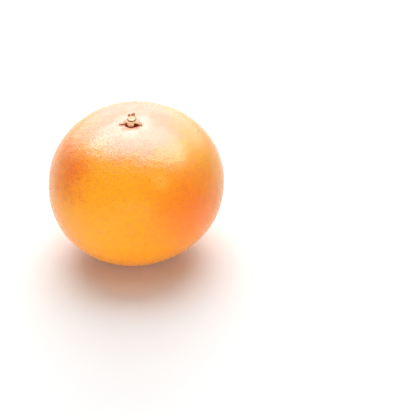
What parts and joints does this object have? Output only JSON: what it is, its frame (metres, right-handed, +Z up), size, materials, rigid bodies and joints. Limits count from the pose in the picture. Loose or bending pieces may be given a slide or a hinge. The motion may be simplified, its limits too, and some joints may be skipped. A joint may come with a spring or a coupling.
{
  "type": "grapefruit",
  "caption": "Whole round fruit, a little wider than tall, with a dried star-shaped calyx and a clipped stem stub on top.",
  "frame": {"origin": "on the surface that the fruit stands on, under the middle of its outline", "axes": "+Z up from the blossom end to the stem end; the stem end leans about 7 degrees towards -Y and 1 degree towards -X; -Y is the side seen from the front"},
  "size_m": [0.11, 0.11, 0.0983],
  "materials": {
    "rind": "waxy pebbled citrus rind, yellow-orange with a redder blush on the left",
    "calyx": "dry tan-brown sepals",
    "stem": "dry cream pith inside a thin tan bark"
  },
  "bodies": {
    "root": {"fruit": "rind", "calyx": "calyx", "stem_stub": "stem"}
  },
  "joints": []
}
